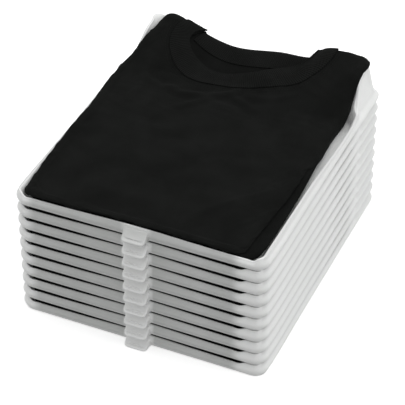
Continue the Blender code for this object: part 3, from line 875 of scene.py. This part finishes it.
def panel_mesh():
    """The front of the shirt as one open sheet: over the top, and round the front, the sides and the shoulders, with the neck cut out."""
    grid = scooped(shirt_grid(5.6 * MM, 289 * MM, lambda y: float(np.interp(y, *LEFT)), lambda y: float(np.interp(y, *CREASE)), (7 * MM, 7 * MM, 12 * MM, 12 * MM), 78, 98))
    m, n = grid.shape[:2]
    x, y = grid[..., 0], grid[..., 1]
    lifted = sample(top_field, x, y) + 1.2 * MM
    low = sample(base_field, x, y)
    ring = outline_of(grid)
    line = np.array([grid[a] for a in ring])
    outward = outward_of(line)
    tops = np.array([lifted[a] for a in ring]) - 0.9 * MM
    lows = np.array([low[a] for a in ring]) + 0.6 * MM
    for i, (p, o) in enumerate(zip(line, outward)):
        q = p + o * 3.0 * MM
        hit = bulk_tree.ray_cast(Vector((q[0], q[1], 1.0)), Vector((0, 0, -1)))[0]
        if hit is not None and p[0] > 0 and 0.004 < p[1] < 0.20:
            lows[i] += max(0.0, hit.z - TOP_Z + 0.5 * MM - lows[i]) * smooth((0.195 - p[1]) / 0.085)
    lows = np.minimum(lows, tops - 1.0 * MM)
    for _ in range(10):
        lows = 0.5 * lows + 0.25 * (np.roll(lows, 1) + np.roll(lows, -1))
    tall = np.clip((tops - lows) / (8 * MM), 0.32, 1.0)
    made = bmesh.new()
    up = [[made.verts.new((*grid[j, i], lifted[j, i] + TOP_Z)) for i in range(n)] for j in range(m)]
    for (a, b), z in zip(ring, tops):
        up[a][b].co.z = z + TOP_Z
    for j in range(m - 1):
        for i in range(n - 1):
            made.faces.new((up[j][i], up[j][i + 1], up[j + 1][i + 1], up[j + 1][i]))
    rows = [[up[a][b] for a, b in ring]]
    for share, off in [(0.06, 1.7), (0.2, 2.8), (0.36, 3.4), (0.52, 3.6), (0.68, 3.4), (0.82, 2.9), (0.93, 2.2)]:
        ring_xy = line + outward * (off * tall * MM)[:, None]
        ring_z = tops + (lows - tops) * share
        rows.append([made.verts.new((p[0], p[1], z + TOP_Z)) for p, z in zip(ring_xy, ring_z)])
    count = len(ring)
    for a, b in zip(rows, rows[1:]):
        for i in range(count):
            k = (i + 1) % count
            made.faces.new((a[i], b[i], b[k], a[k]))
    bmesh.ops.recalc_face_normals(made, faces=made.faces)
    centres = np.array([list(f.calc_center_median())[:2] for f in made.faces])
    gone = inside(centres, neck_polygon)
    bmesh.ops.delete(made, geom=[f for f, g in zip(list(made.faces), gone) if g], context="FACES")
    bmesh.ops.delete(made, geom=[v for v in made.verts if not v.link_faces], context="VERTS")
    # settle the cut edge on the neck line
    for v in made.verts:
        if v.is_boundary and 0.235 < v.co.y < 0.2885 and abs(v.co.x) < 0.074:
            gap = np.hypot(inner_neck[:, 0] - v.co.x, inner_neck[:, 1] - v.co.y)
            if gap.min() < 4 * MM:
                v.co.x, v.co.y = inner_neck[int(gap.argmin())]
    mesh = bpy.data.meshes.new("top_shirt_front")
    made.to_mesh(mesh)
    made.free()
    return mesh


panel = new_object("top_shirt_front", panel_mesh())
start = np.array([list(v.co) for v in panel.data.vertices])
group = panel.vertex_groups.new(name="held")
uses = {}
for p in panel.data.polygons:
    for e in p.edge_keys:
        uses[e] = uses.get(e, 0) + 1
held = sorted({i for e, c in uses.items() if c == 1 for i in e})
group.add(held, 1.0, "REPLACE")


def simulate(obj, solid, frames, grow):
    solid.modifiers.new("collision", "COLLISION")
    solid.collision.thickness_outer = 0.0008
    solid.collision.thickness_inner = 0.003
    solid.collision.cloth_friction = 12
    cloth = obj.modifiers.new("cloth", "CLOTH")
    s = cloth.settings
    s.quality = 4
    s.mass = 0.12
    s.tension_stiffness = s.compression_stiffness = 12
    s.shear_stiffness = 4
    s.bending_stiffness = 0.12
    s.tension_damping = s.compression_damping = s.shear_damping = 6
    s.air_damping = 2
    s.shrink_min = -grow
    s.vertex_group_mass = "held"
    cloth.collision_settings.distance_min = 0.001
    cloth.collision_settings.collision_quality = 2
    cloth.collision_settings.use_self_collision = False
    cloth.point_cache.frame_start, cloth.point_cache.frame_end = 1, frames
    for f in range(1, frames + 1):
        scene.frame_set(f)
    graph = bpy.context.evaluated_depsgraph_get()
    settled = np.array([list(v.co) for v in obj.evaluated_get(graph).data.vertices])
    obj.modifiers.clear()
    solid.modifiers.clear()
    scene.frame_set(1)
    return settled


settled = simulate(panel, bulk, 9, 0.022)
bad = ~np.isfinite(settled).all(axis=1)
settled[bad] = start[bad]
shift = settled - start
reach = np.linalg.norm(shift, axis=1, keepdims=True)
shift *= np.minimum(1.0, 2.2 * MM / np.maximum(reach, 1e-9))
print("panel moved", float(np.median(reach) * 1000), float(reach.max() * 1000), "mm")
settled = start + shift
# creases pressed in by handling, away from the folded edges
flat_part = smooth_array((settled[:, 2] - TOP_Z - sample(top_field, settled[:, 0], settled[:, 1]) + 2.0 * MM) / (1.5 * MM))
flat_part *= smooth_array((settled[:, 0] - np.interp(settled[:, 1], *LEFT) - 1.5 * MM) / (6 * MM)) * smooth_array((np.interp(settled[:, 1], *CREASE) - settled[:, 0] - 1.5 * MM) / (6 * MM)) * smooth_array((settled[:, 1] - 7 * MM) / (6 * MM))
settled[:, 2] += crease_heights(settled[:, 0], settled[:, 1]) * flat_part
for i, (x, y, z) in enumerate(settled):
    hit = bulk_tree.ray_cast(Vector((x, y, 1.0)), Vector((0, 0, -1)))[0]
    if hit is not None and hit.z > TOP_Z + 0.008 and z > hit.z - 4 * MM and z < hit.z + 0.9 * MM:
        settled[i, 2] = hit.z + 0.9 * MM
panel.data.vertices.foreach_set("co", settled.astype(np.float32).ravel())
panel.vertex_groups.clear()
panel.data.update()
thick = panel.modifiers.new("cloth_thickness", "SOLIDIFY")
thick.thickness = 0.9 * MM
thick.offset = 0.0
fine = panel.modifiers.new("fine", "SUBSURF")
fine.levels = fine.render_levels = 1
panel_final = baked(panel, "top_shirt_front")
panel = new_object("top_shirt_front", panel_final)
panel.data.materials.append(jersey)
panel.data.shade_smooth()
panel_tree = heights_of(panel_final)


def surface_z(x, y, tree, default):
    hit = tree.ray_cast(Vector((x, y, 1.0)), Vector((0, 0, -1)))[0]
    return default if hit is None else hit.z


def strip(name, inner, outer, heights, thickness, crown, columns=10, overlap=0.0):
    """A knitted band between two curves (n, 2), lying on heights(x, y): a closed strip, crowned, with its run along it stored for the ribs."""
    n = len(inner)
    rows = []
    for t in np.linspace(0, 1, columns + 1):
        xy = inner * (1 - t) + outer * t
        z = heights(xy, t)
        rows.append(np.column_stack([xy, z + crown * math.sin(math.pi * min(max(t, 0), 1)) ** 0.6]))
    rows = np.array(rows)
    run = np.concatenate([[0], np.cumsum(np.linalg.norm(np.diff((inner + outer) / 2, axis=0), axis=1))])
    made = bmesh.new()
    layer = made.verts.layers.float.new("along")
    up = [[made.verts.new(p) for p in row] for row in rows]
    down = [[made.verts.new((p[0], p[1], p[2] - thickness)) for p in row] for row in rows]
    for grid_rows in (up, down):
        for row in grid_rows:
            for v, s in zip(row, run):
                v[layer] = s / MM
    m = len(rows)
    for j in range(m - 1):
        for i in range(n - 1):
            made.faces.new((up[j][i], up[j][i + 1], up[j + 1][i + 1], up[j + 1][i]))
            made.faces.new((down[j][i], down[j + 1][i], down[j + 1][i + 1], down[j][i + 1]))
    for i in range(n - 1):
        made.faces.new((up[0][i], down[0][i], down[0][i + 1], up[0][i + 1]))
        made.faces.new((up[-1][i], up[-1][i + 1], down[-1][i + 1], down[-1][i]))
    for j in range(m - 1):
        made.faces.new((up[j][0], up[j + 1][0], down[j + 1][0], down[j][0]))
        made.faces.new((up[j][-1], down[j][-1], down[j + 1][-1], up[j + 1][-1]))
    bmesh.ops.recalc_face_normals(made, faces=made.faces)
    mesh = bpy.data.meshes.new(name)
    made.to_mesh(mesh)
    made.free()
    mesh.shade_smooth()
    mesh.set_sharp_from_angle(angle=math.radians(60))
    return mesh


def smoothed_line(z, times=6):
    z = np.array(z, float)
    for _ in range(times):
        z[1:-1] = 0.5 * z[1:-1] + 0.25 * (z[:-2] + z[2:])
    return z


NECK_STEPS = 150
inner = curve_xy(NECK_IN, NECK_STEPS)
outer_seam = curve_xy(NECK_OUT, NECK_STEPS)


def collar_heights(xy, t):
    """On the front panel, held up over the neck opening at the height of its edge."""
    outward = outer_seam - inner
    outward /= np.maximum(np.linalg.norm(outward, axis=1, keepdims=True), 1e-9)
    found = []
    for p, q, o in zip(xy, inner, outward):
        sample = q + o * max(float(np.dot(p - q, o)), 3.2 * MM)
        found.append(surface_z(sample[0], min(sample[1], 0.2885), panel_tree, TOP_Z + 0.015))
    return smoothed_line(found, 5) + 1.25 * MM


collar = new_object("top_shirt_collar_front", strip("top_shirt_collar_front", inner - 0.0, outer_seam, collar_heights, 1.9 * MM, 0.35 * MM))
collar.data.materials.append(rib_knit)

# the back of the collar, seen from its inside
back_in = curve_xy([(-60, 288.6), (-46, 287.6), (-28, 286.6), (-4, 286.2), (20, 286.4), (40, 287.6), (57, 288.6)], 90)
back_out = curve_xy([(-66, 273), (-46, 267.5), (-26, 264.0), (-4, 263.0), (20, 264.0), (40, 268.2), (60, 275)], 90)


def back_heights(xy, t):
    found = [surface_z(x, min(y, 0.2885), bulk_tree, TOP_Z + 0.014) for x, y in xy]
    return smoothed_line(found, 5) + 1.2 * MM


back_collar = new_object("top_shirt_collar_back", strip("top_shirt_collar_back", back_in, back_out, back_heights, 1.7 * MM, 0.3 * MM, columns=6))
back_collar.data.materials.append(rib_knit)


def stitch_line(name, line, heights, lift, pitch=2.6, gap=0.7, radius=0.28):
    """A row of stitches: short raised threads along a line."""
    line = resampled(line, max(int(np.linalg.norm(np.diff(line, axis=0), axis=1).sum() / (0.5 * MM)), 8))
    z = heights(line) + lift
    points = np.column_stack([line, z])
    step = pitch * MM
    run = np.concatenate([[0], np.cumsum(np.linalg.norm(np.diff(points, axis=0), axis=1))])
    made = bmesh.new()
    sides = 6
    s = 0.0
    while s + step < run[-1]:
        at = np.linspace(s, s + step - gap * MM, 5)
        centre = np.stack([np.interp(at, run, points[:, k]) for k in range(3)], axis=1)
        centre[:, 2] += np.array([-0.25, 0.05, 0.1, 0.05, -0.25]) * MM
        ahead = centre[-1] - centre[0]
        ahead /= max(np.linalg.norm(ahead), 1e-9)
        side_way = np.cross(ahead, (0, 0, 1))
        side_way /= max(np.linalg.norm(side_way), 1e-9)
        up_way = np.cross(side_way, ahead)
        rings = []
        for c, r in zip(centre, (0.5, 1, 1, 1, 0.5)):
            rings.append([made.verts.new(c + radius * MM * r * (math.cos(a) * side_way + math.sin(a) * up_way)) for a in np.linspace(0, 2 * math.pi, sides, endpoint=False)])
        for a, b in zip(rings, rings[1:]):
            for i in range(sides):
                k = (i + 1) % sides
                made.faces.new((a[i], a[k], b[k], b[i]))
        made.faces.new(list(reversed(rings[0])))
        made.faces.new(rings[-1])
        s += step
    bmesh.ops.recalc_face_normals(made, faces=made.faces)
    mesh = bpy.data.meshes.new(name)
    made.to_mesh(mesh)
    made.free()
    mesh.shade_smooth()
    return mesh


def panel_heights(line):
    return smoothed_line([surface_z(x, min(y, 0.288), panel_tree, TOP_Z + 0.015) for x, y in line], 3)


def offset_line(line, distance):
    ahead = np.gradient(line, axis=0)
    normal = np.stack([ahead[:, 1], -ahead[:, 0]], axis=1)
    normal /= np.maximum(np.linalg.norm(normal, axis=1, keepdims=True), 1e-9)
    return line + normal * distance


seam_rows = []
probe = offset_line(outer_seam, 1 * MM)
sign = 1 if np.linalg.norm(probe[len(probe) // 2] - inner[len(inner) // 2]) > np.linalg.norm(outer_seam[len(outer_seam) // 2] - inner[len(inner) // 2]) else -1
for row, away in enumerate((1.6, 4.4)):
    path = offset_line(outer_seam, sign * away * MM)
    path = path[path[:, 1] < 0.287]
    row_mesh = stitch_line(f"top_shirt_neck_stitches_{row + 1}", path, panel_heights, 0.12 * MM)
    row_obj = new_object(f"top_shirt_neck_stitches_{row + 1}", row_mesh)
    row_obj.data.materials.append(thread)
    seam_rows.append(row_obj)

for piece in (bulk, panel, collar, back_collar, *seam_rows):
    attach(piece, "top_shirt")
bulk.data.shade_smooth()
bulk.data.set_sharp_from_angle(angle=math.radians(60))
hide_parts("folded_shirt_10")
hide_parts("folded_shirt_10")


# ---------------------------------------------------------------- the lower shirts


def lower_shirt():
    """A shirt folded flat between two boards, with its collar at the rear: one shell, and its collar band."""
    g = shirt_grid(7.0 * MM, 247 * MM, lambda y: -112.3 * MM, lambda y: 110.0 * MM, (3.5 * MM, 13 * MM, 41 * MM, 41 * MM), 40, 52)
    x, y = g[..., 0], g[..., 1]
    low_z = np.full(x.shape, WALL + CLEAR)
    top_z = 12.6 * MM + wave(x, y, 11, 0.12) * 0.3 * MM
    neck = np.array([[px * 0.86, (py - 268) * 0.86 + 233] for px, py in NECK_IN])
    neck_line = curve_xy(neck, 80)
    polygon = np.concatenate([neck_line, [[0.05, 0.27], [-0.055, 0.27]]])
    dip = blurred(inside(g.reshape(-1, 2), polygon).reshape(x.shape).astype(float), 1)
    top_z -= dip * 2.4 * MM
    edge = np.ones_like(x)
    edge[0, :] = edge[-1, :] = edge[:, 0] = edge[:, -1] = 0
    top_z = np.where(edge > 0, top_z, low_z + 0.86 * (top_z - low_z))
    low_edge = np.where(edge > 0, low_z, low_z + 0.1 * (top_z - low_z))
    shell_mesh = closed_shell("folded_shirt", g, low_edge, top_z, layered(4, 1.0, 0.6))
    tree = heights_of(shell_mesh)
    seam = np.array([[px * 0.86, (py - 268) * 0.86 + 233] for px, py in NECK_OUT])
    a, b = curve_xy(neck, 110), curve_xy(seam, 110)
    ok = (a[:, 1] < 0.2455) & (b[:, 1] < 0.2455)
    a, b = a[ok], b[ok]

    def flat(xy, t):
        return np.full(len(xy), 12.95 * MM)

    band = strip("folded_shirt_collar", a, b, flat, 1.4 * MM, 0.2 * MM, columns=5)
    return shell_mesh, band


print("lower shirts")
lower_mesh, lower_band = lower_shirt()
lower_mesh.materials.append(jersey)
lower_mesh.shade_smooth()
lower_mesh.set_sharp_from_angle(angle=math.radians(60))
lower_band.materials.append(rib_knit)
lower_pieces = []
for k in range(COUNT - 1):
    shirt = new_object(f"flat_folded_shirt_{k + 1:02d}", lower_mesh)
    shirt.location = (0, 0, k * PITCH)
    neckband = new_object(f"flat_folded_shirt_collar_{k + 1:02d}", lower_band)
    neckband.location = (0, 0, k * PITCH)
    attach(shirt, f"board_{k + 1:02d}")
    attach(neckband, f"board_{k + 1:02d}")
    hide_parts(f"folded_shirt_{k + 1:02d}")
    lower_pieces.append(shirt)


def area_of(mesh):
    return sum(p.area for p in mesh.polygons)


print("panel area", area_of(panel.data))

# ---------------------------------------------------------------- stage, light, camera

floor_mesh = bpy.data.meshes.new("studio_floor")
floor_mesh.from_pydata([(-6, -6, 0), (6, -6, 0), (6, 6, 0), (-6, 6, 0)], [], [(0, 1, 2, 3)])
floor = new_object("studio_floor", floor_mesh)
floor.location.z = -0.0002
pale = bpy.data.materials.new("pale_floor")
pale.use_nodes = True
pale_shader = pale.node_tree.nodes["Principled BSDF"]
pale_shader.inputs["Base Color"].default_value = (0.96, 0.96, 0.96, 1)
pale_shader.inputs["Emission Color"].default_value = (1, 1, 1, 1)
pale_shader.inputs["Emission Strength"].default_value = 0.38
pale_shader.inputs["Roughness"].default_value = 0.9
pale_shader.inputs["Specular IOR Level"].default_value = 0.1
floor.data.materials.append(pale)
floor.visible_diffuse = False

world = bpy.data.worlds.new("studio")
scene.world = world
world.use_nodes = True
world.node_tree.nodes["Background"].inputs["Color"].default_value = (1, 1, 1, 1)
sky = world.node_tree
way = node(sky, "ShaderNodeTexCoord")
parts = node(sky, "ShaderNodeSeparateXYZ")
sky.links.new(way.outputs["Generated"], parts.inputs["Vector"])
rise = node(sky, "ShaderNodeMapRange")
rise.inputs["From Min"].default_value = -0.35
rise.inputs["From Max"].default_value = 0.55
rise.inputs["To Min"].default_value = 0.34
rise.inputs["To Max"].default_value = 0.62
sky.links.new(parts.outputs["Z"], rise.inputs["Value"])
sky.links.new(rise.outputs["Result"], sky.nodes["Background"].inputs["Strength"])


def area_light(name, location, target, size, power):
    data = bpy.data.lights.new(name, "AREA")
    data.shape = "RECTANGLE"
    data.size, data.size_y = size
    data.energy = power
    lamp = bpy.data.objects.new(name, data)
    scene.collection.objects.link(lamp)
    lamp.location = location
    lamp.rotation_euler = (Vector(target) - Vector(location)).to_track_quat("-Z", "Y").to_euler()
    return lamp


area_light("key_right", (1.5, 0.35, 1.15), (0, 0.15, 0.05), (1.4, 1.4), 8.6)
area_light("top_soft", (0.1, 0.3, 2.0), (0, 0.15, 0.05), (2.2, 2.2), 13)
area_light("left_rim", (-1.5, -0.2, 0.7), (0, 0.1, 0.06), (0.8, 1.2), 3.2)
area_light("front_fill", (0.9, -1.5, 0.8), (0.05, 0.0, 0.06), (1.2, 0.9), 2.4)

AZIMUTH, ELEVATION, RANGE = math.radians(23.972), math.radians(37.922), 1.82797
aim = Vector((0, 0.149, 0.0695))
back = Vector((math.sin(AZIMUTH) * math.cos(ELEVATION), -math.cos(AZIMUTH) * math.cos(ELEVATION), math.sin(ELEVATION)))
lens = bpy.data.cameras.new("camera")
lens.sensor_width = 36
lens.lens = 1900 / 405 * 36
lens.shift_x = -1.41 / 405
lens.shift_y = -8.80 / 405
lens.clip_start, lens.clip_end = 0.05, 50
camera = bpy.data.objects.new("camera", lens)
scene.collection.objects.link(camera)
camera.location = aim + back * RANGE
camera.rotation_euler = (-back).to_track_quat("-Z", "Y").to_euler()
scene.camera = camera
scene.view_settings.view_transform = "Standard"
scene.view_settings.look = "None"
scene.view_settings.exposure = 0.0

# everything above is laid out from the boards' front edge: move it to the frame's origin, which is under the middle of the stack
MIDDLE = (DEPTH - TAB_REACH) / 2
fixed = set(frame["nodes"].values()) | set(frame["bodies"].values())
for thing in list(scene.collection.all_objects):
    if thing not in fixed:
        thing.location.y -= MIDDLE
bpy.context.view_layer.update()
